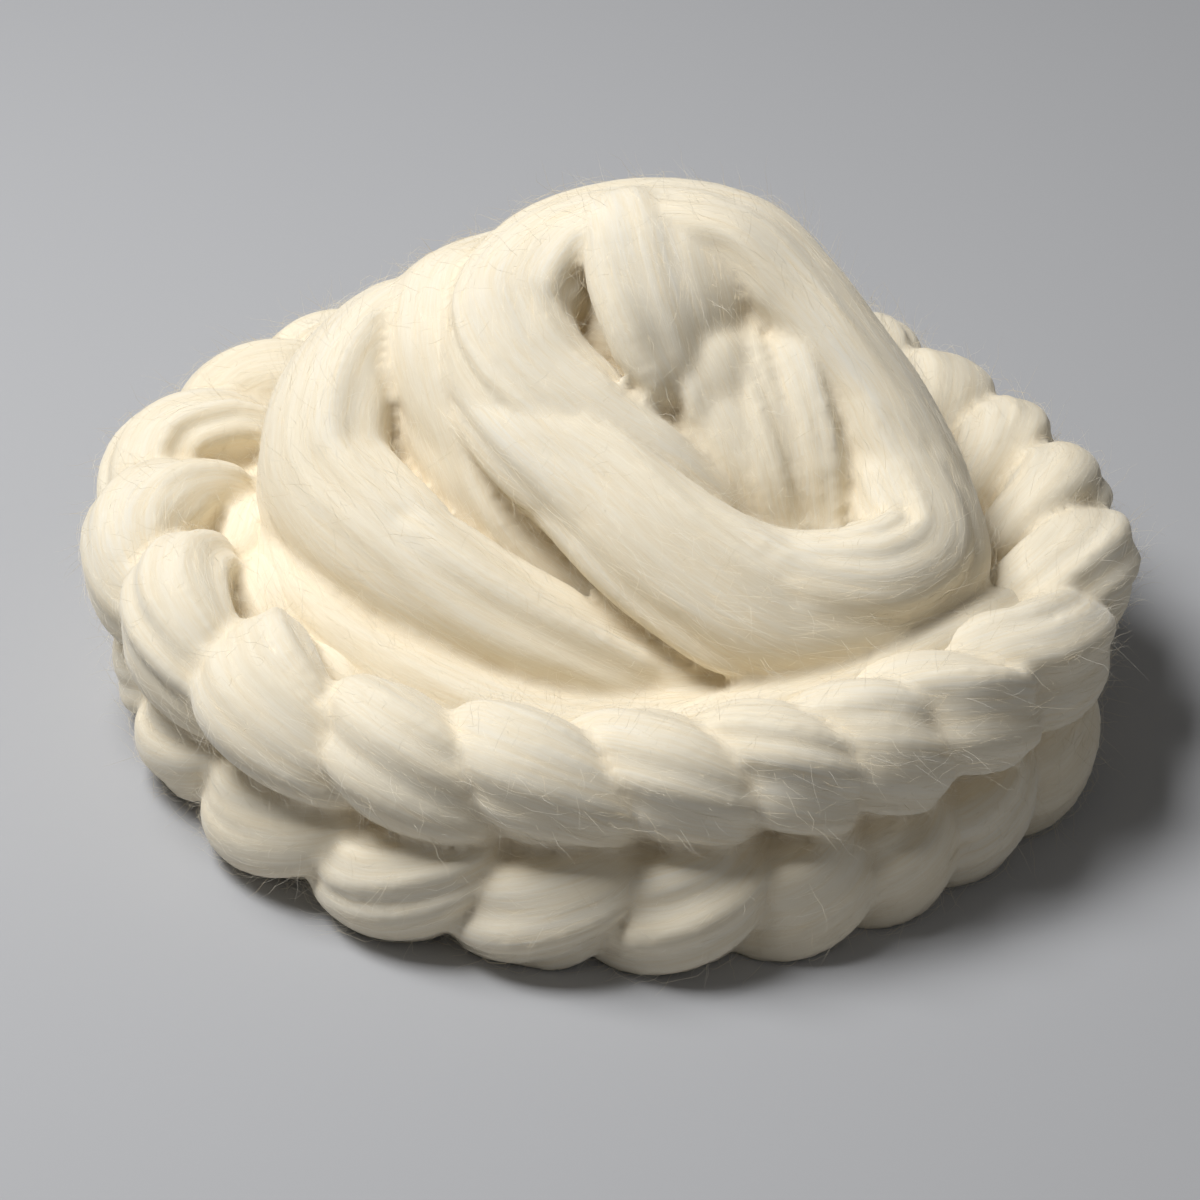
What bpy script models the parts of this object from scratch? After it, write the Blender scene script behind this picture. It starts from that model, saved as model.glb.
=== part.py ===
"""Hand-chained wool roving, laid in a ring with its loose length heaped inside.

One unbroken length of combed wool. Its first part is looped by hand into a chain, and the chain
lies in a ring two strands high. The rest rises out of the chain's last link, coils round inside
the ring and ends in a tall fold that arches over itself. The strands press into one another, so
the whole is one solid, with a small flat under each loop that it rests on.

Run with: blender --background --python part.py
Millimetres in the tables and constants, metres in the model, +Z up, origin under the middle.
"""

import math
from collections import namedtuple

import bmesh
import bpy
import numpy as np

MM = 0.001
NODE = "wool_roving"
WOOL_COLOUR = (0.80, 0.74, 0.61, 1.0)
WOOL_ROUGHNESS = 0.9

# Sizes of the chain, millimetres
HALF_HEIGHT = 31.0
HALF_DEPTH = 21.0
LEG_WIDE = 34.0
LEG_THICK = 31.0

# The line through the middle of the chain, round the ring, in degrees and millimetres.
# turn: 0 at +X, -90 at the front. tilt: how far the upper strands lean in, or out below 0.
RingSection = namedtuple("RingSection", "turn radius tilt")
RING = [RingSection(*row) for row in (
    (-30, 130, -3),
    (-60, 125, 10),
    (-90, 121, 16),
    (-120, 124, 10),
    (-147, 124, -4),
    (-170, 129, -13),
    (-195, 126, -15),
    (-215, 117, -10),
    (-250, 112, 0),
    (-290, 110, 0),
    (-325, 109, -5),
    (-345, 115, -10),
    (-360, 123, -14),
    (-375, 129, -11),
)]
# How far the lowest loops would reach into the surface if wool didn't flatten
SINK = 3.0

# Where each link's loop is at its fattest, in degrees round the ring
LINK_TURNS = (-32, -46, -58, -70, -84, -101, -118, -138, -157, -177, -196, -211,
              -225, -239, -253, -268, -282, -297, -312, -327, -342, -356, -371)
LINKS = len(LINK_TURNS)

# One leg of a link, from its neck to its head. The other leg mirrors it.
# along: in links. across: in half heights. out: in half depths. girth: of a full leg.
LegSection = namedtuple("LegSection", "along across out girth")
LEG = [LegSection(*row) for row in (
    (0.00, 0.14, -0.20, 0.66),
    (0.22, 0.24, 0.30, 0.78),
    (0.55, 0.44, 0.66, 0.98),
    (0.95, 0.60, 0.62, 1.10),
    (1.30, 0.60, 0.26, 1.04),
    (1.58, 0.38, -0.18, 0.86),
)]
# The fattest section, by its place in the leg
FATTEST = 3
HEAD = LegSection(1.68, 0.00, -0.34, 0.74)
# The strand behind a finished link, on its way to the next one's neck
BACK = [LegSection(*row) for row in (
    (-0.12, 0.10, -0.72, 0.72),
    (0.30, 0.10, -0.92, 0.84),
    (0.72, -0.06, -0.86, 0.80),
)]

# The loose length, coil by coil from the chain's last link to its tucked end, millimetres
CoilSection = namedtuple("CoilSection", "x y z wide thick")
COILS = {
    "rising_end": (
        (122, -34, 36, 34, 30),
        (113, -56, 44, 42, 30),
        (96, -74, 46, 44, 30),
        (68, -83, 40, 42, 28),
        (34, -86, 32, 42, 28),
    ),
    "base_coil": (
        (0, -84, 28, 42, 30),
        (-30, -80, 30, 44, 32),
        (-62, -64, 35, 46, 34),
        (-86, -37, 40, 46, 36),
        (-95, -2, 44, 46, 36),
        (-82, 42, 44, 44, 36),
        (-42, 72, 40, 44, 36),
        (14, 76, 38, 44, 36),
        (58, 60, 36, 42, 36),
        (84, 22, 34, 42, 36),
        (82, -26, 32, 42, 34),
        (56, -62, 30, 42, 32),
    ),
    "left_coil": (
        (18, -70, 33, 44, 32),
        (-22, -63, 45, 48, 34),
        (-60, -42, 58, 52, 36),
        (-86, -9, 68, 54, 38),
        (-86, 20, 81, 54, 38),
        (-70, 48, 86, 54, 38),
        (-42, 70, 78, 50, 38),
    ),
    "back_coil": (
        (-6, 78, 72, 50, 42),
        (36, 70, 72, 50, 42),
        (68, 38, 74, 46, 42),
        (78, 6, 70, 42, 38),
        (70, -14, 60, 30, 26),
    ),
    "upper_coil": (
        (78, -6, 74, 30, 26),
        (77, 22, 82, 40, 34),
        (56, 54, 92, 46, 40),
        (24, 68, 101, 52, 44),
        (-12, 66, 100, 50, 42),
        (-36, 58, 101, 48, 38),
    ),
    "shoulder": (
        (-50, 42, 103, 48, 36),
        (-52, 18, 98, 46, 34),
        (-43, -6, 80, 36, 30),
        (-28, -25, 58, 34, 28),
        (-4, -38, 44, 30, 22),
    ),
    "bowl": (
        (-30, 44, 100, 30, 24),
        (-37, 26, 107, 40, 30),
        (-35, 8, 103, 42, 30),
        (-23, -15, 97, 42, 32),
        (-4, -34, 88, 43, 34),
        (18, -54, 77, 46, 38),
        (46, -67, 68, 50, 40),
        (75, -65, 64, 52, 40),
        (92, -47, 67, 50, 38),
        (89, -21, 79, 44, 36),
        (80, -3, 94, 42, 34),
        (68, 11, 108, 40, 32),
    ),
    "crown": (
        (54, 27, 119, 42, 32),
        (36, 40, 129, 44, 32),
        (8, 44, 131, 46, 32),
        (-17, 39, 126, 46, 32),
        (-31, 20, 117, 42, 32),
        (-27, 0, 108, 40, 30),
        (-10, -16, 98, 38, 30),
        (12, -27, 86, 36, 28),
        (32, -30, 70, 30, 24),
        (44, -26, 56, 20, 18),
    ),
    "tongue_left": (
        (16, 32, 108, 20, 20),
        (22, 16, 112, 24, 22),
        (30, -2, 102, 26, 22),
        (39, -19, 87, 26, 22),
        (43, -28, 70, 20, 20),
    ),
    "tongue_middle": (
        (31, 32, 110, 20, 20),
        (37, 16, 113, 24, 22),
        (44, -4, 103, 26, 22),
        (51, -20, 88, 26, 22),
        (54, -29, 70, 20, 20),
    ),
    "tongue_right": (
        (46, 32, 109, 20, 20),
        (51, 16, 112, 24, 22),
        (58, -3, 103, 26, 22),
        (63, -19, 88, 26, 22),
        (64, -29, 70, 20, 20),
    ),
    "flap": (
        (10, 56, 126, 36, 22),
        (14, 44, 135, 46, 24),
        (18, 29, 135, 52, 24),
        (21, 15, 127, 52, 22),
        (24, 6, 115, 50, 20),
        (27, 1, 103, 44, 16),
    ),
    "hood_back": (
        (-30, 38, 88, 36, 32),
        (-8, 36, 93, 44, 36),
        (12, 24, 95, 46, 36),
        (26, 8, 92, 44, 34),
        (38, -10, 82, 36, 28),
    ),
    "floor_coil": (
        (76, -36, 22, 30, 26),
        (62, -50, 18, 42, 36),
        (30, -64, 18, 42, 36),
        (-16, -66, 18, 42, 36),
        (-56, -44, 18, 42, 36),
        (-72, 0, 18, 42, 36),
        (-52, 44, 18, 42, 36),
        (-4, 60, 18, 42, 36),
        (46, 46, 18, 42, 36),
        (62, 6, 18, 42, 36),
        (34, -26, 18, 44, 36),
        (-14, -26, 18, 44, 36),
        (-26, 10, 18, 44, 36),
        (6, 24, 18, 44, 36),
        (20, 4, 22, 30, 26),
    ),
    "core": (
        (-60, 26, 38, 70, 56),
        (-30, 16, 44, 90, 66),
        (10, 14, 48, 100, 74),
        (50, 10, 42, 80, 60),
        (72, 2, 36, 56, 50),
    ),
}
# The coils that follow one another in one run of the strand
RUNS = (
    ("rising_end", "base_coil", "left_coil", "back_coil"),
    ("upper_coil", "shoulder"),
    ("bowl", "crown"),
    ("tongue_left",),
    ("tongue_middle",),
    ("tongue_right",),
    ("flap",),
    ("hood_back",),
    ("floor_coil",),
    ("core",),
)
HEAP_CORE = (4.0, 14.0, 36.0)

# How finely the solid is made
SIDES = 14
STEP = 4.0
VOXEL = 3.5
SMOOTHING = 0.5
TRIANGLES = 8800
# The flats are made exact to this
SNAP = 0.25


def clear_scene():
    """Remove every object."""
    for item in list(bpy.data.objects):
        bpy.data.objects.remove(item, do_unlink=True)


def wool_material():
    """Undyed cream wool."""
    material = bpy.data.materials.new("cream_wool")
    material.use_nodes = True
    shader = material.node_tree.nodes["Principled BSDF"]
    shader.inputs["Base Color"].default_value = WOOL_COLOUR
    shader.inputs["Roughness"].default_value = WOOL_ROUGHNESS
    shader.inputs["Metallic"].default_value = 0.0
    return material


def smooth_route(rows, step):
    """Sections read from one smooth curve through the given ones, a step apart."""
    rows = np.asarray(rows, dtype=float)
    gaps = np.linalg.norm(np.diff(rows[:, :3], axis=0), axis=1)
    at = np.concatenate(([0.0], np.cumsum(gaps)))
    slopes = np.zeros_like(rows)
    slopes[1:-1] = (rows[2:] - rows[:-2]) / (at[2:] - at[:-2])[:, None]
    slopes[0] = (rows[1] - rows[0]) / gaps[0]
    slopes[-1] = (rows[-1] - rows[-2]) / gaps[-1]
    places = np.linspace(0.0, at[-1], max(3, int(at[-1] / step) + 1))
    span = np.clip(np.searchsorted(at, places, side="right") - 1, 0, len(gaps) - 1)
    length = gaps[span][:, None]
    t = ((places - at[span]) / gaps[span])[:, None]
    return ((2 * t**3 - 3 * t**2 + 1) * rows[span]
            + (t**3 - 2 * t**2 + t) * length * slopes[span]
            + (3 * t**2 - 2 * t**3) * rows[span + 1]
            + (t**3 - t**2) * length * slopes[span + 1])


def link_turn(along):
    """Degrees round the ring at a place counted in links from the first neck."""
    turns = [turn - 360.0 * lap for lap in (-1, 0, 1) for turn in LINK_TURNS]
    return np.interp(along - 1.0, np.arange(-LINKS, 2 * LINKS), turns)


def ring_point(along, across, out):
    """A point of the chain: links round the ring, half heights up, half depths outwards."""
    turn = link_turn(along)
    past_first = (RING[0].turn - turn) % 360.0
    table = RING + [RING[0]._replace(turn=RING[0].turn - 360.0)]
    knots = [RING[0].turn - section.turn for section in table]
    radius = np.interp(past_first, knots, [section.radius for section in table])
    lean = math.radians(np.interp(past_first, knots, [section.tilt for section in table]))
    fattest = LEG[FATTEST]
    up = (across + fattest.across) * HALF_HEIGHT
    forth = (out - fattest.out) * HALF_DEPTH
    height = (fattest.girth * LEG_WIDE / 2.0 - SINK
              + up * math.cos(lean) + forth * math.sin(lean))
    radius += out * HALF_DEPTH * math.cos(lean) - across * HALF_HEIGHT * math.sin(lean)
    turn = math.radians(turn)
    return (radius * math.cos(turn), radius * math.sin(turn), height)


def chain_sections():
    """The chained part of the strand, link after link round the ring."""
    lower = [leg._replace(across=-leg.across) for leg in LEG]
    link_pattern = lower + [HEAD] + LEG[::-1] + BACK
    sections = []
    for link in range(LINKS):
        for along, across, out, girth in link_pattern:
            place = ring_point(link + along, across, out)
            sections.append(CoilSection(*place, girth * LEG_WIDE, girth * LEG_THICK))
    return sections


def unit(vectors):
    """The vectors at length 1."""
    return vectors / np.linalg.norm(vectors, axis=1)[:, None]


def add_strand(mesh, route, centre):
    """Add one closed oval tube along a route, its broad side turned away from a centre."""
    points = route[:, :3]
    forward = unit(np.gradient(points, axis=0))
    side = unit(np.cross(forward, points - centre))
    front = np.cross(side, forward)
    angles = np.arange(SIDES) * 2.0 * math.pi / SIDES
    rings = []
    for point, across, out, (wide, thick) in zip(points, side, front, route[:, 3:]):
        oval = point + 0.5 * (wide * np.cos(angles)[:, None] * across
                              + thick * np.sin(angles)[:, None] * out)
        rings.append([mesh.verts.new(corner * MM) for corner in oval])
    for ring, following in zip(rings, rings[1:]):
        for i in range(SIDES):
            j = (i + 1) % SIDES
            mesh.faces.new((ring[i], ring[j], following[j], following[i]))
    mesh.faces.new(rings[0][::-1])
    mesh.faces.new(rings[-1])


def strand_mesh(step=STEP):
    """The whole strand as overlapping closed tubes."""
    mesh = bmesh.new()
    chain = smooth_route(chain_sections(), step)
    add_strand(mesh, chain, chain[:, :3] * (0.0, 0.0, 1.0))
    for run in RUNS:
        sections = [section for coil in run for section in COILS[coil]]
        add_strand(mesh, smooth_route(sections, step), HEAP_CORE)
    bmesh.ops.recalc_face_normals(mesh, faces=mesh.faces)
    return mesh


def evaluated_mesh(item):
    """A new mesh of the object with its modifiers applied."""
    graph = bpy.context.evaluated_depsgraph_get()
    return bpy.data.meshes.new_from_object(item.evaluated_get(graph))


def keep_outer_body(mesh):
    """Delete every loose body but the largest: the closed pockets between the strands."""
    mesh.verts.ensure_lookup_table()
    unseen = set(mesh.verts)
    bodies = []
    while unseen:
        body = {unseen.pop()}
        edge_of_body = list(body)
        while edge_of_body:
            vert = edge_of_body.pop()
            near = {edge.other_vert(vert) for edge in vert.link_edges} & unseen
            unseen -= near
            body |= near
            edge_of_body.extend(near)
        bodies.append(body)
    bodies.sort(key=len)
    for body in bodies[:-1]:
        bmesh.ops.delete(mesh, geom=list(body), context="VERTS")


def flatten_underside(mesh):
    """Press what lies below z = 0 up to it, so each low loop ends in a flat."""
    for vert in mesh.verts:
        vert.co.z = max(vert.co.z, 0.0)


def settle(mesh):
    """Make the flats exact and bring the middle of the footprint to the origin."""
    places = np.empty(len(mesh.vertices) * 3)
    mesh.vertices.foreach_get("co", places)
    places = places.reshape(-1, 3)
    places[places[:, 2] < SNAP * MM, 2] = 0.0
    low, high = places.min(axis=0), places.max(axis=0)
    places[:, :2] -= (low[:2] + high[:2]) / 2.0
    mesh.vertices.foreach_set("co", places.ravel())
    mesh.update()


def build_roving():
    """The roving as one closed solid of triangles."""
    rough = bpy.data.meshes.new("strands")
    strands = strand_mesh()
    strands.to_mesh(rough)
    strands.free()
    item = bpy.data.objects.new(NODE, rough)
    bpy.context.scene.collection.objects.link(item)
    remesh = item.modifiers.new("union", "REMESH")
    remesh.mode = "VOXEL"
    remesh.voxel_size = VOXEL * MM
    united = evaluated_mesh(item)
    item.modifiers.clear()

    body = bmesh.new()
    body.from_mesh(united)
    keep_outer_body(body)
    bmesh.ops.smooth_vert(body, verts=body.verts, factor=SMOOTHING,
                          use_axis_x=True, use_axis_y=True, use_axis_z=True)
    flatten_underside(body)
    bmesh.ops.triangulate(body, faces=body.faces)
    body.to_mesh(united)
    body.free()

    item.data = united
    decimate = item.modifiers.new("lighten", "DECIMATE")
    decimate.ratio = TRIANGLES / len(united.polygons)
    light = evaluated_mesh(item)
    item.modifiers.clear()
    settle(light)
    light.shade_smooth()
    light.materials.append(wool_material())
    item.data = light
    item.data.name = NODE
    return item


def main():
    """Build the part."""
    clear_scene()
    build_roving()


if __name__ == "__main__":
    main()
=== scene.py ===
"""Looks of the hand-chained wool roving: its strands, its fibres and their finish.

One length of combed wool is chained into a ring, and the rest is heaped in coils inside it. The
strands follow the same sections as the solid does, but for the one behind the flap, which lies a
little higher inside the heap. Over them lie thousands of fine fibres.
Lengths in the tables are millimetres; everything else is metres.
"""

from __future__ import annotations

import logging
import math
from dataclasses import asdict, dataclass, field, replace
from enum import Enum
from typing import NamedTuple, Sequence

import bmesh
import bpy
import numpy as np
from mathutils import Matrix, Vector
from mathutils.bvhtree import BVHTree
from mathutils.interpolate import poly_3d_calc


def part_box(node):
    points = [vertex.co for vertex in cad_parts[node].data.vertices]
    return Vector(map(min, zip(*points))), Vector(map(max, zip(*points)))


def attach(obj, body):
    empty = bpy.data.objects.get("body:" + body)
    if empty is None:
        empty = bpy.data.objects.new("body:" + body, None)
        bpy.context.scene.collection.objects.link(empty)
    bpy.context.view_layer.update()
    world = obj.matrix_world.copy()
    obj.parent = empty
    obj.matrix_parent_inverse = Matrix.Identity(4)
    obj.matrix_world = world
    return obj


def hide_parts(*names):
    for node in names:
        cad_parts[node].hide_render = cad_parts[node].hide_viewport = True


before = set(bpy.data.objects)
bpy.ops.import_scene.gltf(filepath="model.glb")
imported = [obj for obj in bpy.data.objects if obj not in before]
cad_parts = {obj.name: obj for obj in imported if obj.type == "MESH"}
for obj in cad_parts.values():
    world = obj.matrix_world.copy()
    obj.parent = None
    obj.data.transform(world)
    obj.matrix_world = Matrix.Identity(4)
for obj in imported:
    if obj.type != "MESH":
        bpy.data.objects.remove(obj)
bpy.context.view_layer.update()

NODE = "wool_roving"
BODY = "root"
MM = 0.001

# The least height of the strands, and of a fibre's middle line
FLOOR_GAP = 0.0003
FIBRE_FLOOR_GAP = 0.0004
# How far a combed fibre's middle line lies off the wool
FIBRE_REST = 0.00003
# How far off a point its ray starts, and how deep in the solid nothing shows
RAY_START = 0.0002
HIDDEN_DEPTH = 0.009

log = logging.getLogger("wool_roving")


# --------------------------------------------------------------------------- sections


class RingSection(NamedTuple):
    """The middle line of the chain at one turn round the ring."""

    turn: float
    radius: float
    tilt: float


class LegSection(NamedTuple):
    """One leg of a link, in links along, half heights up and half depths outwards."""

    along: float
    across: float
    out: float
    girth: float


class CoilSection(NamedTuple):
    """One place on the strand and its oval there, in millimetres."""

    x: float
    y: float
    z: float
    wide: float
    thick: float


@dataclass(frozen=True)
class Strand:
    """A stretch of the strand, ready to be given a surface."""

    sections: Sequence[CoilSection]
    centre: tuple[float, float, float] | None = None


def linked(name: str, data: bpy.types.ID) -> bpy.types.Object:
    """A new object in the scene."""
    made = bpy.data.objects.new(name, data)
    bpy.context.scene.collection.objects.link(made)
    return made


def applied(piece: bpy.types.Object) -> bpy.types.Mesh:
    """A plain mesh of an object with its modifiers applied."""
    graph = bpy.context.evaluated_depsgraph_get()
    return bpy.data.meshes.new_from_object(piece.evaluated_get(graph))


def values_of(items: Sequence, name: str, width: int = 1, kind: type = float) -> np.ndarray:
    """Read a property of each item: one value, or a row of them where the width is above 1."""
    read = np.empty(len(items) * width, dtype=kind)
    items.foreach_get(name, read)
    return read.reshape(-1, width) if width > 1 else read


def unit(vectors: np.ndarray) -> np.ndarray:
    """The vectors at length 1."""
    return vectors / np.maximum(np.linalg.norm(vectors, axis=-1, keepdims=True), 1e-12)


def smooth_route(rows: Sequence[CoilSection], step: float) -> np.ndarray:
    """Read sections from one smooth curve through the given ones.

    Args:
        rows: the sections that the curve goes through.
        step: the distance between the sections read, in millimetres.

    Returns:
        One row of x, y, z, wide and thick for each place.
    """
    table = np.asarray(rows, dtype=float)
    gaps = np.linalg.norm(np.diff(table[:, :3], axis=0), axis=1)
    at = np.concatenate(([0.0], np.cumsum(gaps)))
    slopes = np.zeros_like(table)
    slopes[1:-1] = (table[2:] - table[:-2]) / (at[2:] - at[:-2])[:, None]
    slopes[0] = (table[1] - table[0]) / gaps[0]
    slopes[-1] = (table[-1] - table[-2]) / gaps[-1]
    places = np.linspace(0.0, at[-1], max(3, int(at[-1] / step) + 1))
    span = np.clip(np.searchsorted(at, places, side="right") - 1, 0, len(gaps) - 1)
    length = gaps[span][:, None]
    t = ((places - at[span]) / gaps[span])[:, None]
    return (
        (2 * t**3 - 3 * t**2 + 1) * table[span]
        + (t**3 - 2 * t**2 + t) * length * slopes[span]
        + (3 * t**2 - 2 * t**3) * table[span + 1]
        + (t**3 - t**2) * length * slopes[span + 1]
    )


class SmoothNoise:
    """Seeded smooth noise in three directions, from -1 to 1."""

    SIDE = 32

    def __init__(self, seed: int) -> None:
        """Draw the lattice of random values that the noise is read from."""
        shape = (self.SIDE, self.SIDE, self.SIDE)
        self.lattice = np.random.default_rng(seed).uniform(-1.0, 1.0, shape)

    def at(self, x: np.ndarray, y: np.ndarray, z: np.ndarray) -> np.ndarray:
        """Read the noise.

        Args:
            x: first coordinates, one for each point.
            y: second coordinates.
            z: third coordinates.

        Returns:
            One value for each point.
        """
        places = np.stack(np.broadcast_arrays(x, y, z), axis=-1)
        low = np.floor(places).astype(int)
        part = places - low
        part = part * part * (3.0 - 2.0 * part)
        total = np.zeros(places.shape[:-1])
        for corner in np.ndindex(2, 2, 2):
            share = np.prod(np.where(corner, part, 1.0 - part), axis=-1)
            cell = (low + corner) % self.SIDE
            total += share * self.lattice[cell[..., 0], cell[..., 1], cell[..., 2]]
        return total


# --------------------------------------------------------------------------- strands


@dataclass(frozen=True)
class Loft:
    """How unevenly a strand swells, in metres, and how finely its surface is made.

    The step along the strand is in millimetres, as the tables are.
    """

    sides: int = 44
    step: float = 2.4
    lump: float = 0.0020
    lump_length: float = 0.045
    lumps_round: float = 0.8
    fold: float = 0.0014
    fold_length: float = 0.080
    folds_round: float = 2.2
    crease: float = 0.0007
    crease_length: float = 0.035
    creases_round: float = 5.5
    squareness: float = 2.3
    seed: int = 3


class StrandSurface:
    """Turns stretches of strand into one mesh of closed, softly folded tubes."""

    # Where in the noise the folds and the creases are read, along the strand and round it
    FOLDS_AT = (9.0, 7.0)
    CREASES_AT = (4.0, 5.0)

    def __init__(self, name: str, loft: Loft) -> None:
        """Start an empty surface.

        Args:
            name: the piece's name.
            loft: how the strands swell and fold.
        """
        self.name = name
        self.loft = loft
        self.noise = SmoothNoise(loft.seed)
        self.verts: list[np.ndarray] = []
        self.flow: list[np.ndarray] = []
        self.faces: list[np.ndarray] = []
        self.caps: list[list[int]] = []
        self.along: list[np.ndarray] = []
        self.count = 0
        self.run = 0.0

    def frames(self, points: np.ndarray, centre: Sequence[float] | None
               ) -> tuple[np.ndarray, np.ndarray, np.ndarray]:
        """Work out the directions of the strand's ovals.

        Args:
            points: the route.
            centre: what the broad side turns away from, or None to turn as little as can be.

        Returns:
            The ways forward, across and out, one row for each point.
        """
        forward = unit(np.gradient(points, axis=0))
        if centre is not None:
            across = unit(np.cross(forward, points - np.asarray(centre)))
            return forward, across, np.cross(across, forward)
        across = np.empty_like(forward)
        first = np.cross(forward[0], (points[0][0], points[0][1], 0.0))
        across[0] = first / np.linalg.norm(first)
        for i in range(1, len(points)):
            carried = across[i - 1] - forward[i] * np.dot(across[i - 1], forward[i])
            across[i] = carried / np.linalg.norm(carried)
        return forward, across, np.cross(across, forward)

    def add(self, strand: Strand) -> None:
        """Add one closed tube.

        Args:
            strand: the stretch to add.
        """
        loft = self.loft
        route = smooth_route(strand.sections, loft.step)
        points = route[:, :3] * MM
        wide, thick = route[:, 3] * MM / 2.0, route[:, 4] * MM / 2.0
        centre = None if strand.centre is None else np.asarray(strand.centre) * MM
        forward, across, out = self.frames(points, centre)
        rings, sides = len(points), loft.sides
        angle = np.arange(sides) * 2.0 * math.pi / sides
        along = self.run + np.concatenate(
            ([0.0], np.cumsum(np.linalg.norm(np.diff(points, axis=0), axis=1))))
        power = 2.0 / loft.squareness
        cosine = np.sign(np.cos(angle)) * np.abs(np.cos(angle)) ** power
        sine = np.sign(np.sin(angle)) * np.abs(np.sin(angle)) ** power
        swell = self.swell(along, angle)
        reach = 1.0 + swell / ((wide + thick) / 2.0)[:, None]
        body = (points[:, None, :]
                + (wide[:, None] * cosine * reach)[..., None] * across[:, None, :]
                + (thick[:, None] * sine * reach)[..., None] * out[:, None, :])
        self.verts.append(body.reshape(-1, 3))
        self.flow.append(np.repeat(forward, sides, axis=0))
        ring = np.arange(rings - 1)[:, None] * sides
        side = np.arange(sides)[None, :]
        beside = (side + 1) % sides
        first = self.count
        quads = np.stack((ring + side, ring + sides + side, ring + sides + beside, ring + beside),
                         axis=-1)
        self.faces.append(quads.reshape(-1, 4) + first)
        girth = (wide + thick) / 2.0
        self.along.append(np.stack((
            np.broadcast_to(along[:, None], (rings, sides)),
            np.mean(girth) * np.broadcast_to(np.cos(angle), (rings, sides)) + self.run,
            np.mean(girth) * np.broadcast_to(np.sin(angle), (rings, sides)),
        ), axis=-1).reshape(-1, 3))
        self.caps.append([first + i for i in range(sides)])
        self.caps.append([first + (rings - 1) * sides + i for i in reversed(range(sides))])
        self.count += rings * sides
        self.run = float(along[-1]) + loft.fold_length

    def swell(self, along: np.ndarray, angle: np.ndarray) -> np.ndarray:
        """How far each point of a tube stands proud of its oval, in metres.

        Args:
            along: metres along the strand.
            angle: angles round it.

        Returns:
            One row for each place along and one value for each angle.
        """
        loft = self.loft
        s = along[:, None]
        x, y = np.cos(angle)[None, :], np.sin(angle)[None, :]
        lumps = self.noise.at(s / loft.lump_length, x * loft.lumps_round, y * loft.lumps_round)
        start, aside = self.FOLDS_AT
        folds = self.noise.at(s / loft.fold_length + start, x * loft.folds_round + aside,
                              y * loft.folds_round + aside)
        folds = 1.0 - 2.0 * np.sqrt(np.abs(folds))
        start, aside = self.CREASES_AT
        creases = self.noise.at(s / loft.crease_length + start, x * loft.creases_round + aside,
                                y * loft.creases_round + aside)
        return loft.lump * lumps - loft.fold * folds + loft.crease * creases

    def build(self, shift: Vector) -> bpy.types.Object:
        """Make the object.

        Args:
            shift: moves the strands to where the solid is.

        Returns:
            The piece, with its flow along the strands as an attribute.
        """
        places = np.concatenate(self.verts) + np.array(shift)
        places[:, 2] = np.maximum(places[:, 2], FLOOR_GAP)
        quads = np.concatenate(self.faces)
        mesh = bpy.data.meshes.new(self.name)
        mesh.from_pydata(places.tolist(), [], quads.tolist() + self.caps)
        for name, rows in (("flow", self.flow), ("strand", self.along)):
            kept = mesh.attributes.new(name, "FLOAT_VECTOR", "POINT")
            kept.data.foreach_set("vector", np.concatenate(rows).ravel())
        mesh.validate()
        mesh.shade_smooth()
        return linked(self.name, mesh)


# --------------------------------------------------------------------------- the strand's route

# turn: 0 at +X, -90 at the front. tilt: how far the upper strands lean in, or out below 0.
RING = [RingSection(*row) for row in (
    (-30, 130, -3),
    (-60, 125, 10),
    (-90, 121, 16),
    (-120, 124, 10),
    (-147, 124, -4),
    (-170, 129, -13),
    (-195, 126, -15),
    (-215, 117, -10),
    (-250, 112, 0),
    (-290, 110, 0),
    (-325, 109, -5),
    (-345, 115, -10),
    (-360, 123, -14),
    (-375, 129, -11),
)]

# Where each link's loop is at its fattest, in degrees round the ring
LINK_TURNS = (-32, -46, -58, -70, -84, -101, -118, -138, -157, -177, -196, -211,
              -225, -239, -253, -268, -282, -297, -312, -327, -342, -356, -371)
LINKS = len(LINK_TURNS)

# One leg of a link, from its neck to its head. The other leg mirrors it.
LEG = [LegSection(*row) for row in (
    (0.00, 0.14, -0.20, 0.66),
    (0.22, 0.24, 0.30, 0.78),
    (0.55, 0.44, 0.66, 0.98),
    (0.95, 0.60, 0.62, 1.10),
    (1.30, 0.60, 0.26, 1.04),
    (1.58, 0.38, -0.18, 0.86),
)]
HEAD = LegSection(1.68, 0.00, -0.34, 0.74)
# The strand behind a finished link, on its way to the next one's neck
BACK = [LegSection(*row) for row in (
    (-0.12, 0.10, -0.72, 0.72),
    (0.30, 0.10, -0.92, 0.84),
    (0.72, -0.06, -0.86, 0.80),
)]

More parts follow.
